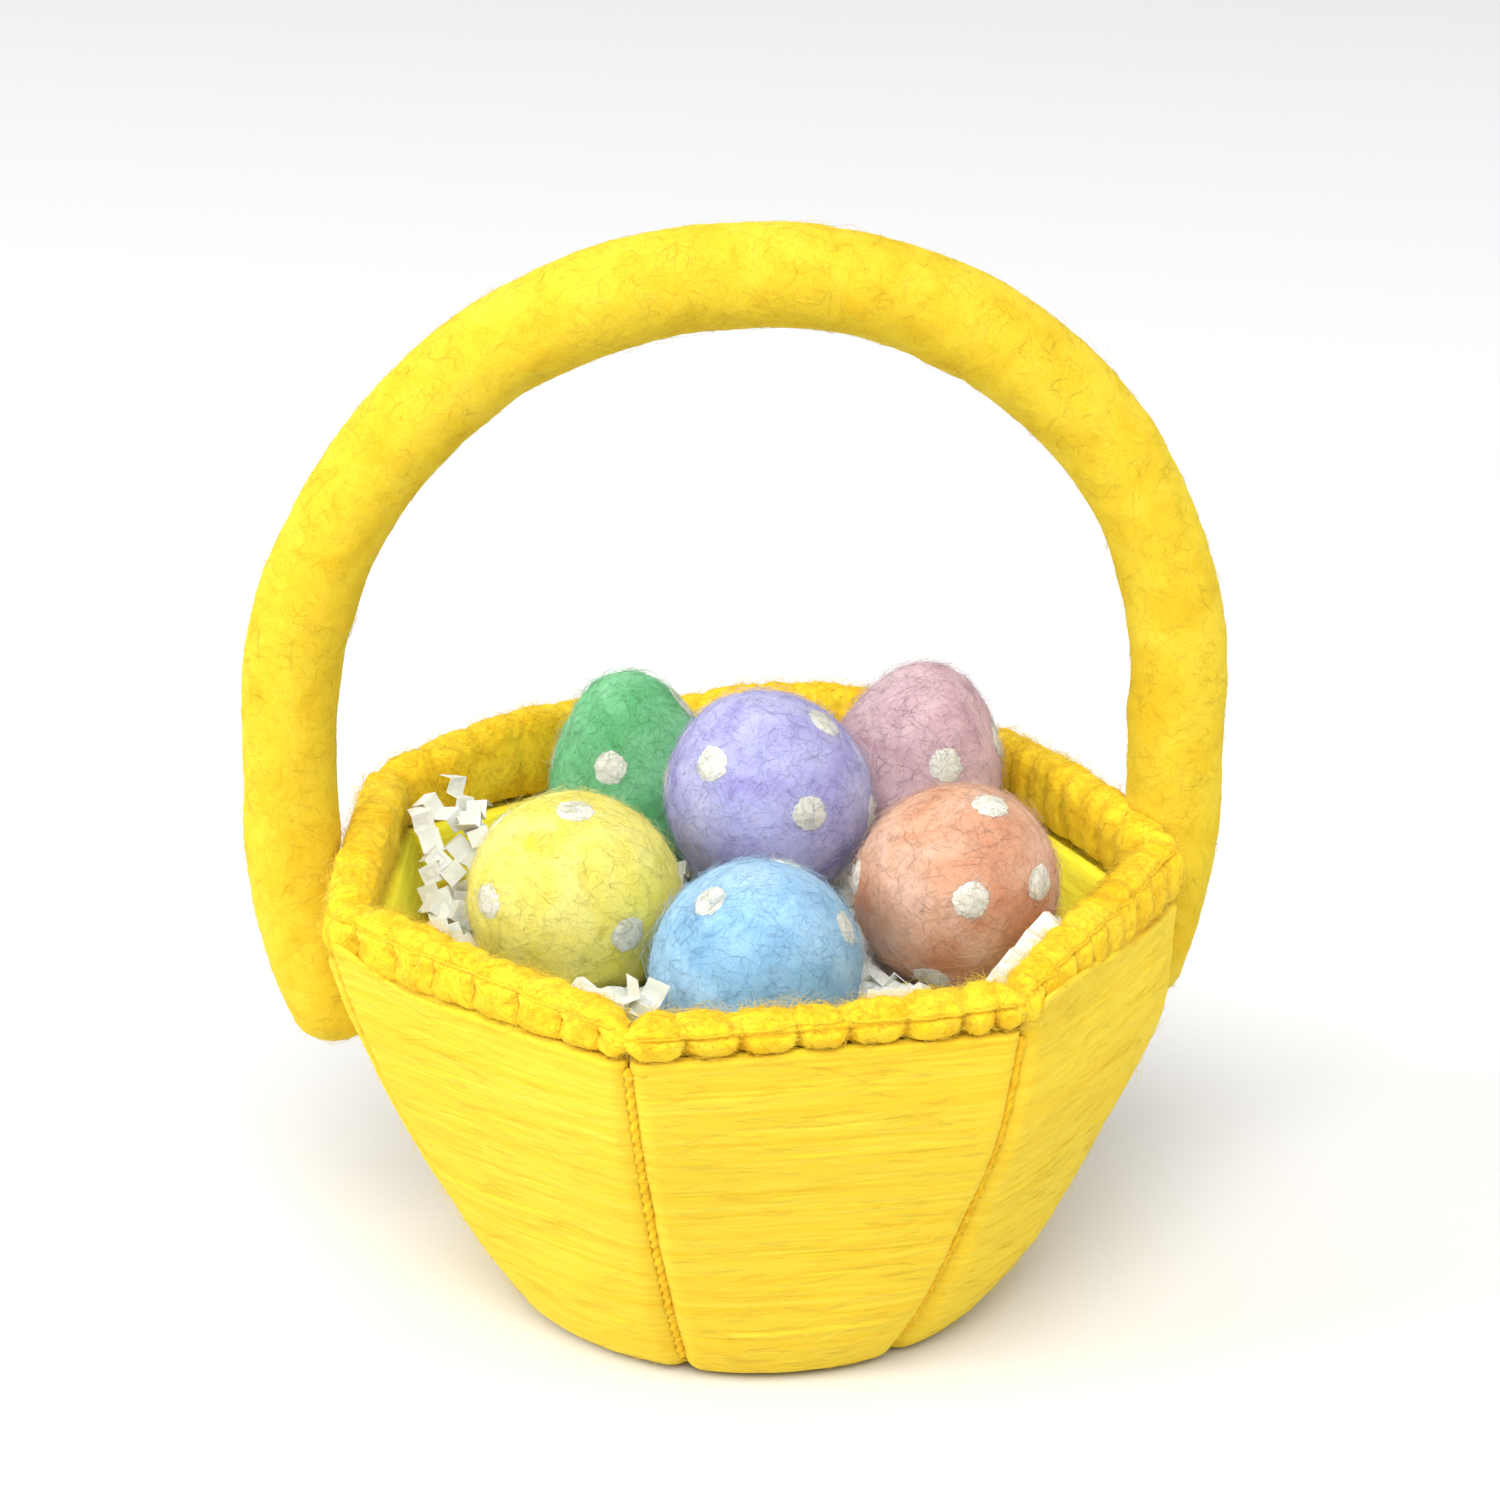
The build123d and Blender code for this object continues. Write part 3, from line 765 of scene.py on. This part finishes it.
def handle_line():
    """Points along the handle's centreline in its own plane, as (across, up)."""
    left_turn = np.arcsin((BEND_Z - FOOT_Z["left"]) / BEND_R)
    right_turn = np.arcsin((BEND_Z - FOOT_Z["right"]) / BEND_R)
    points = []
    for turn in np.linspace(left_turn, 0, 40):
        points.append((BEND_R - HANDLE_HALF - BEND_R * cos(turn), BEND_Z - BEND_R * sin(turn)))
    for up in np.linspace(BEND_Z, ARCH_Z, 22)[1:-1]:
        points.append((-HANDLE_HALF, up))
    for turn in np.linspace(pi, 0, 270):
        bulge = SHOULDER * bump(turn, radians(138), radians(26))
        points.append(((HANDLE_HALF + bulge) * cos(turn), ARCH_Z + (HANDLE_HALF + bulge) * sin(turn)))
    for up in np.linspace(ARCH_Z, BEND_Z, 22)[1:-1]:
        points.append((HANDLE_HALF, up))
    for turn in np.linspace(0, right_turn, 36):
        points.append((HANDLE_HALF - BEND_R + BEND_R * cos(turn), BEND_Z - BEND_R * sin(turn)))
    points = np.array(points)
    high = smooth(points[:, 1], BEND_Z, ARCH_Z + HANDLE_HALF)
    leg = np.where(points[:, 0] < 0, LEFT_SHIFT, RIGHT_SHIFT)
    points[:, 0] += leg + (TOP_SHIFT - leg) * high
    walked = np.concatenate([[0], np.cumsum(np.linalg.norm(np.diff(points, axis=0), axis=1))])
    even = np.arange(0, walked[-1], HANDLE_STEP)
    return np.stack([np.interp(even, walked, points[:, 0]), np.interp(even, walked, points[:, 1])], 1)


def stand_off(points, side, clear):
    """Push points out of the wall and the felt roll of a side, so that a foot lies flat on them."""
    outwards, _ = side_axes(side)
    up = points[:, 2]
    out = points @ outwards
    wall = wall_out(np.minimum(up, WALL_H)) + PANEL_CROWN * 0.9 + 0.2
    roll = ROLL_OUT + ROLL_W / 2 + 0.5
    limit = wall + (roll - wall) * smooth(up, WALL_H - 5, WALL_H + 1)
    limit = limit - 9.0 * smooth(up, ROLL_TOP - 3.3, ROLL_TOP + 4.5)
    limit = limit + clear
    soft = 0.35
    pushed = limit + soft * np.logaddexp(0, (out - limit) / soft)
    return points + (pushed - out)[:, None] * outwards


def handle_mesh():
    """The felted tube, uneven all over, with rounded ends and feet that lie flat on the wall."""
    line = handle_line()
    steps = len(line)
    along = unit(np.gradient(line, axis=0))
    radii = HANDLE_R + 0.4 * smooth(line[:, 1], 110, 150)
    cap = np.linspace(0, pi / 2, 12)[1:]
    start, finish = line[0], line[-1]
    before = [start - along[0] * HANDLE_R * CAP_LENGTH * sin(a) for a in cap[::-1]]
    after = [finish + along[-1] * HANDLE_R * CAP_LENGTH * sin(a) for a in cap]
    shrink = np.maximum(np.cos(cap), 0.04)
    line = np.concatenate([before, line, after])
    along = np.concatenate([np.repeat(along[:1], len(cap), 0), along, np.repeat(along[-1:], len(cap), 0)])
    radii = np.concatenate([HANDLE_R * shrink[::-1], radii, HANDLE_R * shrink])
    away = np.stack([-along[:, 1], along[:, 0]], 1)
    turns = np.linspace(0, 2 * pi, HANDLE_COLUMNS, endpoint=False)
    up = np.array([0.0, 0.0, 1.0])
    origin = np.array([0.0, HANDLE_BACK, 0.0])
    centres = origin + line[:, :1] * HANDLE_X + line[:, 1:] * up
    outward = away[:, :1] * HANDLE_X + away[:, 1:] * up
    direction = (np.cos(turns)[None, :, None] * outward[:, None]
                 + np.sin(turns)[None, :, None] * HANDLE_N)
    points = centres[:, None] + radii[:, None, None] * direction
    inside = smooth(-np.cos(turns), 0.2, 0.9)[None, :]
    size = (radii / HANDLE_R)[:, None]
    relief = 0.30 * noise(points, 17.0, 31) + 0.20 * noise(points, 7.0, 32) + 0.10 * noise(points, 2.6, 33)
    relief = relief + 0.06 * noise(points, 1.1, 34)
    relief = relief - 0.45 * inside * np.maximum(noise(points, 8.0, 35), 0)
    points = points + (relief * size)[..., None] * direction
    shape = points.shape
    flat = points.reshape(-1, 3)
    low = flat[:, 2] < FEET_BELOW
    left = low & (flat @ HANDLE_X < 0)
    right = low & (flat @ HANDLE_X > 0)
    flat[left] = stand_off(flat[left], "left", 0.1)
    flat[right] = stand_off(flat[right], "right_back", 0.1)
    return tube(flat.reshape(shape))


mesh = handle_mesh()
rng = np.random.default_rng(61)
roots, normals = scatter(*mesh, HANDLE_HAIRS, rng)
fuzz = hairs(roots, normals, rng, (1.2, 4.2), 0.038, (0.0, 0.15), 0.6, 0.1)
handle = piece("felt_handle", join(mesh, fuzz), HANDLE_FELT, "basket", ["handle_felt"])


# ---------------------------------------------------------------- eggs

EGG_NAMES = ["yellow", "blue", "peach", "lavender", "green", "pink"]
SPOT_R = 2.6
SPOT_RISE = 0.18
SPOT_WAVES = (2, 3, 5, 8, 11, 14)        # to a turn, in a dot's ragged edge
EGG_HAIRS, SPOT_HAIRS = 3200, 170


def node_mesh(node):
    """A CAD node's points in millimetres, and its faces."""
    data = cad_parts[node].data
    points = np.array([v.co for v in data.vertices], float) / MM
    return points, [list(p.vertices) for p in data.polygons]


def node_tree(node):
    points, faces = node_mesh(node)
    return BVHTree.FromPolygons(points.tolist(), faces)


def ball(level):
    """Evenly divided unit ball."""
    made = bpy.data.meshes.new("ball")
    work = bmesh.new()
    bmesh.ops.create_icosphere(work, subdivisions=level, radius=1.0)
    work.to_mesh(made)
    work.free()
    points = np.array([v.co for v in made.vertices], float)
    faces = [list(p.vertices) for p in made.polygons]
    bpy.data.meshes.remove(made)
    return unit(points), faces


def reach(tree, centre, directions):
    """Distance from the centre to the surface along each direction."""
    origin = Vector(centre)
    found = []
    for direction in directions:
        hit, _, _, distance = tree.ray_cast(origin, Vector(direction))
        found.append(distance if hit is not None else 0.0)
    return np.array(found)


def separate(points, faces):
    """Middle of each loose solid in a mesh."""
    home = np.arange(len(points))
    keys = {}
    for k, point in enumerate(np.round(points, 3)):
        home[k] = keys.setdefault(tuple(point), k)

    def root(k):
        while home[k] != k:
            k = home[k]
        return k

    for face in faces:
        first = root(face[0])
        for k in face[1:]:
            home[root(k)] = first
    groups = {}
    for k in range(len(points)):
        groups.setdefault(root(k), []).append(points[k])
    return [np.mean(group, axis=0) for group in groups.values()]


def egg_relief(points, seed):
    """Height of the felt's unevenness, in lumps of three sizes."""
    return (0.16 * noise(points, 7.5, seed) + 0.035 * noise(points, 2.1, seed + 1)
            + 0.02 * noise(points, 0.8, seed + 2))


BALL_POINTS, BALL_FACES = ball(6)


def spot(tree, centre, towards, seed):
    """Felt dot on an egg: a low lens with a ragged edge, tucked into the surface."""
    axis = unit(towards - centre)
    side = unit(np.cross(axis, np.array([0.3, 0.2, 0.93])))
    other = np.cross(axis, side)
    rng = np.random.default_rng(seed)
    rings, columns = 12, 48
    turns = np.linspace(0, 2 * pi, columns, endpoint=False)
    waves = sum(rng.uniform(0.01, 0.035) * np.cos(n * turns + rng.uniform(0, 2 * pi)) for n in SPOT_WAVES)
    distance = float(reach(tree, centre, [axis])[0])
    shares = np.sin(np.linspace(0, pi / 2, rings))[1:]
    tops, bottoms = [], []
    for share in shares:
        offset = share * SPOT_R * (1 + waves * share)
        directions = unit(axis + (offset / distance)[:, None] * (np.cos(turns)[:, None] * side
                                                                 + np.sin(turns)[:, None] * other))
        far = reach(tree, centre, directions)[:, None]
        surface = centre + directions * far
        rise = SPOT_RISE * (1 - share**3) + 0.03 * noise(surface, 0.8, seed)[:, None] * (1 - share**3) + 0.02
        tops.append(surface + directions * (rise + egg_relief(surface, seed)[:, None] * 0.6))
        bottoms.append(surface - directions * 0.5)
    peak = centre + axis * (distance + SPOT_RISE)
    floor = centre + axis * (distance - 0.5)
    layers = np.stack(tops + bottoms[::-1])
    points = np.concatenate([layers.reshape(-1, 3), [peak, floor]])
    faces = tube_faces(len(layers), columns).tolist()
    last = (len(layers) - 1) * columns
    for k in range(columns):
        after = (k + 1) % columns
        faces.append([len(points) - 2, k, after][::-1])
        faces.append([len(points) - 1, last + k, last + after])
    faces = [face[::-1] for face in faces]
    return points, faces


for k, name in enumerate(EGG_NAMES):
    low, high = span(f"egg_{name}")
    centre = (low + high) / 2
    tree = node_tree(f"egg_{name}")
    radii = reach(tree, centre, BALL_POINTS)
    points = centre + BALL_POINTS * radii[:, None]
    points = points + BALL_POINTS * (egg_relief(points, 300 + 10 * k) - 0.05)[:, None]
    rng = np.random.default_rng(330 + k)
    roots, normals = scatter(points, BALL_FACES, EGG_HAIRS, rng)
    fuzz = hairs(roots, normals, rng, (1.2, 4.8), 0.034, (0.0, 0.28), 0.6, 0.066)
    egg = piece(f"wool_egg_{name}", join((points, BALL_FACES), fuzz), WOOLS[name], f"{name}_egg",
                [f"egg_{name}"])

    spots = []
    for n, middle in enumerate(separate(*node_mesh(f"egg_{name}_dots"))):
        made = spot(tree, centre, middle, 360 + 10 * k + n)
        roots, normals = scatter(*made, SPOT_HAIRS, rng)
        outside = np.sum((roots - centre) * normals, axis=1) > 0
        fuzz = hairs(roots[outside], normals[outside], rng, (0.8, 2.2), 0.03, (0.02, 0.3), 0.6, 0.066)
        spots += [made, fuzz]
    piece(f"wool_spots_{name}", join(*spots), WHITE_WOOL, f"{name}_egg", [f"egg_{name}_dots"])


# ---------------------------------------------------------------- crinkle paper

BED_LOW = span("paper_bed")[0][2]
STRIP_W = 3.2
STRIP_T = 0.16
PLEAT = 2.9                     # a strip goes on by 0.55 to 0.8 of this from fold to fold
PLEAT_RISE = 0.95               # the folds stand this far off the strip's middle, each way
LOOSE_STRIPS, MOST_TRIES = 230, 6000
# Height of the heap's top by distance from the centre
BED_HEIGHTS = ([0, 22, 34, 44, 50], [55.5, 56.0, 56.0, 53.5, 52.0])
EGG_BOXES = [span(f"egg_{name}") for name in EGG_NAMES]
EGG_TREES = [node_tree(f"egg_{name}") for name in EGG_NAMES]


def under_eggs(x, y):
    """Height of the lowest egg over a point, or a great height where there is none."""
    lowest = 1000.0
    for tree in EGG_TREES:
        hit, _, _, _ = tree.ray_cast(Vector((x, y, 0)), Vector((0, 0, 1)))
        if hit is not None:
            lowest = min(lowest, hit.z)
    return lowest


def inner_apothem(up):
    return wall_out(up) - WALL_T - 0.6


def bed_height(x, y, clear):
    top = float(np.interp(sqrt(x * x + y * y), *BED_HEIGHTS))
    return min(top, under_eggs(x, y) - clear)


def paper_heap():
    """Body of the heap: its top follows the nests of the eggs and is crumpled all over."""
    rings, columns = 56, 170
    turns = np.linspace(0, 2 * pi, columns, endpoint=False)
    within = (turns - SIDE_ANGLES["left"] + HALF) % (2 * HALF) - HALF
    edge = inner_apothem(50.0) / np.cos(within)
    layers = []
    for share in np.linspace(1, 1 / rings, rings):
        x, y = share * edge * np.cos(turns), share * edge * np.sin(turns)
        z = np.array([bed_height(a, b, 2.4) for a, b in zip(x, y)])
        points = np.stack([x, y, z], 1)
        fold = np.abs(noise(points, 3.4, 41)) + 0.7 * np.abs(noise(points, 1.9, 42))
        points[:, 2] += 0.9 - 2.0 * fold
        layers.append(points)
    foot = inner_apothem(BED_LOW) / np.cos(within)
    bottom = np.stack([foot * np.cos(turns), foot * np.sin(turns), np.full(columns, BED_LOW)], 1)
    return tube(np.stack([bottom] + layers))


def strip(start, heading, slope, pleats, roll, rng, bend=0.0):
    """Accordion-folded paper strip. heading, slope and roll are in degrees."""
    position = np.array(start, float)
    heading, slope, roll = radians(heading), radians(slope), radians(roll)
    edges = []
    for k in range(pleats + 1):
        along = np.array([cos(heading) * cos(slope), sin(heading) * cos(slope), sin(slope)])
        level = unit(np.cross(along, [0.0, 0.0, 1.0]))
        upward = np.cross(level, along)
        across = level * cos(roll) + upward * sin(roll)
        normal = upward * cos(roll) - level * sin(roll)
        skew = rng.normal(0, 0.15)
        ridge = position + normal * (PLEAT_RISE if k % 2 else -PLEAT_RISE)
        edges.append([ridge + across * STRIP_W / 2 + along * skew,
                      ridge - across * STRIP_W / 2 - along * skew, normal])
        position = position + along * PLEAT * rng.uniform(0.55, 0.8)
        heading += radians(bend + rng.normal(0, 4))
        slope += radians(rng.normal(0, 3))
        roll += radians(rng.normal(0, 4))
    points, faces = [], []
    for left, right, normal in edges:
        points += [left, right, right - normal * STRIP_T, left - normal * STRIP_T]
    for k in range(pleats):
        a, b = 4 * k, 4 * k + 4
        faces += [[a, a + 1, b + 1, b], [a + 1, a + 2, b + 2, b + 1],
                  [a + 2, a + 3, b + 3, b + 2], [a + 3, a, b, b + 3]]
    faces += [[3, 2, 1, 0], [4 * pleats, 4 * pleats + 1, 4 * pleats + 2, 4 * pleats + 3]]
    return np.array(points), [face[::-1] for face in faces]


def clear_of_things(points):
    """True if a strip's points are inside the walls and outside the ellipsoid that fits each egg's
    box. A leaning egg reaches a little past that, so a strip can still touch one."""
    for low, high in EGG_BOXES:
        inside = np.linalg.norm((points - (low + high) / 2) / ((high - low) / 2 + 0.2), axis=1)
        if inside.min() < 1.0:
            return False
    for side in SIDE_NAMES:
        outwards, _ = side_axes(side)
        if np.any(points @ outwards > np.minimum(inner_apothem(np.minimum(points[:, 2], WALL_H)), 48.2)):
            return False
    return True


piece("paper_heap", paper_heap(), PAPER, "basket", ["paper_bed"], flat=True)

# Strips that stand out of the heap: start, heading, slope, number of pleats and roll
PLACED = {
    "left": [((-49.0, 17.5, 69.0), -32, -18, 4, -20), ((-44.2, 21.5, 71.5), -62, -40, 4, 20),
             ((-49.0, 15.5, 68.5), -62, -42, 5, -20), ((-47.5, 9.0, 63.5), -40, -14, 4, -30),
             ((-46.5, 8.0, 62.5), -80, -24, 5, -30), ((-45.5, 1.5, 60.5), -60, -10, 4, -10),
             ((-44.5, -2.0, 59.5), -78, -10, 5, -25), ((-46.5, -3.5, 60.5), -15, -8, 4, -45),
             ((-43.0, -8.0, 58.5), -60, -4, 4, -10), ((-42.0, 14.0, 68.0), -55, -20, 4, -25),
             ((-39.5, 17.5, 68.5), -100, -10, 5, -10), ((-44.0, 12.0, 64.5), -50, -18, 5, -35)],
    "front": [((-23.0, -38.2, 62.4), -38, -12, 4, -35), ((-16.4, -44.6, 59.8), 40, 52, 3, 0),
              ((-20.0, -34.0, 57.5), -40, 0, 4, -50), ((-13.4, -44.2, 60.0), 45, 30, 3, -30),
              ((-19.5, -39.5, 60.5), -25, 0, 4, -40)],
    "right": [((35.4, -38.2, 62.4), 58, 25, 8, -35), ((30.0, -36.0, 57.5), 30, 8, 4, -30)],
}
rng = np.random.default_rng(77)
for pile, strips in PLACED.items():
    made = [strip(*measures, rng) for measures in strips]
    piece(f"paper_shreds_{pile}", join(*made), PAPER, "basket",
          [f"paper_strips_{pile}"], flat=True)

loose, tries = [], 0
while len(loose) < LOOSE_STRIPS and tries < MOST_TRIES:
    tries += 1
    turn, far = rng.uniform(0, 2 * pi), 47.0 * sqrt(rng.random())
    x, y = far * cos(turn), far * sin(turn)
    z = bed_height(x, y, 2.2) + rng.uniform(0.2, 1.6)
    made = strip((x, y, z), rng.uniform(0, 360), rng.normal(0, 9), int(rng.integers(3, 8)),
                 rng.normal(0, 35), rng, rng.normal(0, 7))
    if clear_of_things(made[0]):
        loose.append(made)
piece("paper_shreds_loose", join(*loose), PAPER, "basket", flat=True)


# ---------------------------------------------------------------- floor, light and camera


def plain(name, colour, roughness):
    material = bpy.data.materials.new(name)
    material.use_nodes = True
    shader = material.node_tree.nodes["Principled BSDF"]
    shader.inputs["Base Color"].default_value = colour
    shader.inputs["Roughness"].default_value = roughness
    shader.inputs["Specular IOR Level"].default_value = 0.1
    return material


FLOOR_REACH = 6.0
floor_data = bpy.data.meshes.new("floor")
FLOOR_DROP = 0.0002             # the floor lies just under the basket
square = [(-1, -1), (1, -1), (1, 1), (-1, 1)]
floor_corners = [(x * FLOOR_REACH, y * FLOOR_REACH, -FLOOR_DROP) for x, y in square]
floor_data.from_pydata(floor_corners, [], [(0, 1, 2, 3)])
floor_data.materials.append(plain("floor_white", (0.72, 0.72, 0.72, 1), 0.9))
floor = bpy.data.objects.new("floor", floor_data)
bpy.context.scene.collection.objects.link(floor)

world = bpy.data.worlds.new("studio")
world.use_nodes = True
world.node_tree.nodes["Background"].inputs["Color"].default_value = (1.0, 1.0, 1.0, 1)
world.node_tree.nodes["Background"].inputs["Strength"].default_value = 0.70
bpy.context.scene.world = world


def softbox(name, position, target, size, power, colour=(1, 1, 1)):
    light = bpy.data.lights.new(name, "AREA")
    light.shape = "DISK"
    light.size = size
    light.energy = power
    light.color = colour
    lamp = bpy.data.objects.new(name, light)
    lamp.location = position
    lamp.rotation_mode = "QUATERNION"
    lamp.rotation_quaternion = (Vector(target) - Vector(position)).to_track_quat("-Z", "Y")
    bpy.context.scene.collection.objects.link(lamp)


MIDDLE = (0.0, 0.0, 0.06)
softbox("key", (-2.76, -0.9, 1.42), MIDDLE, 1.6, 62.0, (0.97, 1.0, 1.0))
softbox("front", (-0.2, -1.95, 2.3), MIDDLE, 1.8, 78.0)
softbox("fill", (1.5, -1.5, 2.0), MIDDLE, 1.6, 15.0)

camera_data = bpy.data.cameras.new("camera")
camera_data.lens = 96.0
camera_data.sensor_width = 36.0
camera_data.clip_start, camera_data.clip_end = 0.01, 20.0
camera = bpy.data.objects.new("camera", camera_data)
CAMERA_AZIMUTH, CAMERA_ELEVATION = radians(1.285), radians(19.41)
back = Vector((sin(CAMERA_AZIMUTH) * cos(CAMERA_ELEVATION), -cos(CAMERA_AZIMUTH) * cos(CAMERA_ELEVATION),
               sin(CAMERA_ELEVATION)))
camera.location = (0.0132, -0.5427, 0.2741)
camera.rotation_mode = "QUATERNION"
camera.rotation_quaternion = (-back).to_track_quat("-Z", "Y")
bpy.context.scene.collection.objects.link(camera)
bpy.context.scene.camera = camera
bpy.context.scene.view_settings.view_transform = "Standard"
